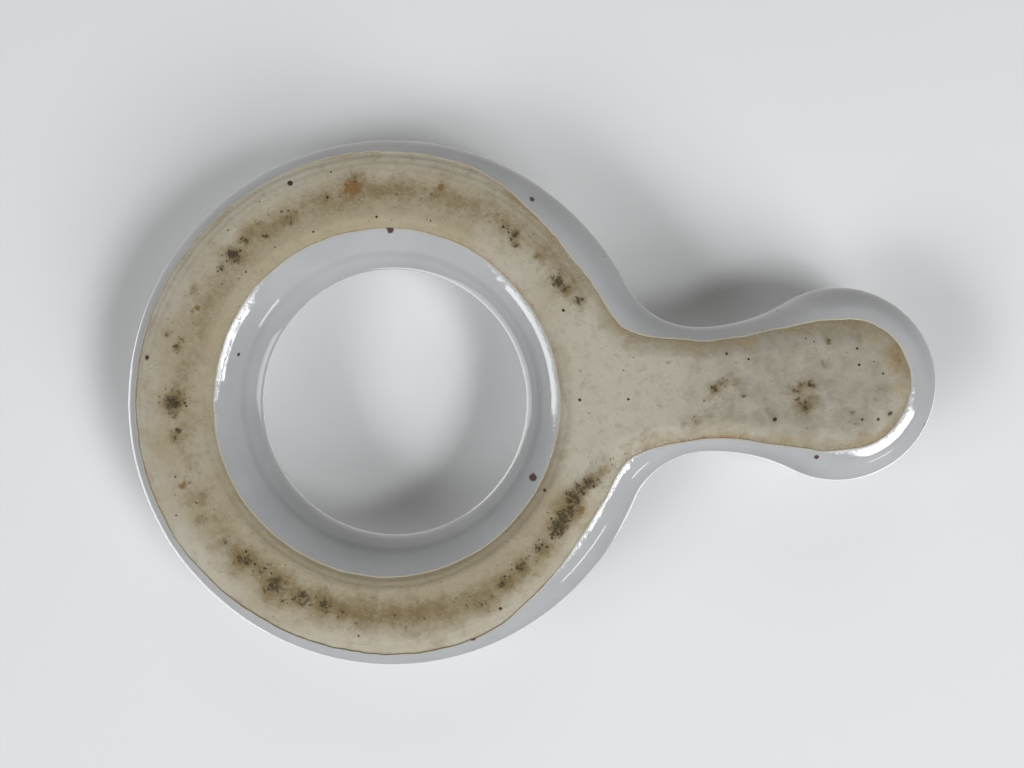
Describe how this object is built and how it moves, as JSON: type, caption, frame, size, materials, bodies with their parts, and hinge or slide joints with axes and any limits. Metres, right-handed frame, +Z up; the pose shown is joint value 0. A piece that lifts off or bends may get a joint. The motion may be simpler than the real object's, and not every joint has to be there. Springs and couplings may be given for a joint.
{
  "type": "chopstick rest",
  "caption": "Glazed clay chopstick rest: a round ring with a short necked handle ending in a knob, standing on a bare clay foot.",
  "frame": {"origin": "middle of the part's outline, on the plane that its foot stands on", "axes": "+Z up from the foot to the glazed top, +X from the ring to the knob of the handle"},
  "size_m": [0.0676, 0.044, 0.0096],
  "materials": {
    "bare_clay": "matte bare fired clay with brown stains and iron specks",
    "pale_glaze": "glossy pale grey-lilac glaze"
  },
  "bodies": {
    "root": {"clay_body": "bare_clay", "glaze_coat": "pale_glaze"}
  },
  "joints": []
}
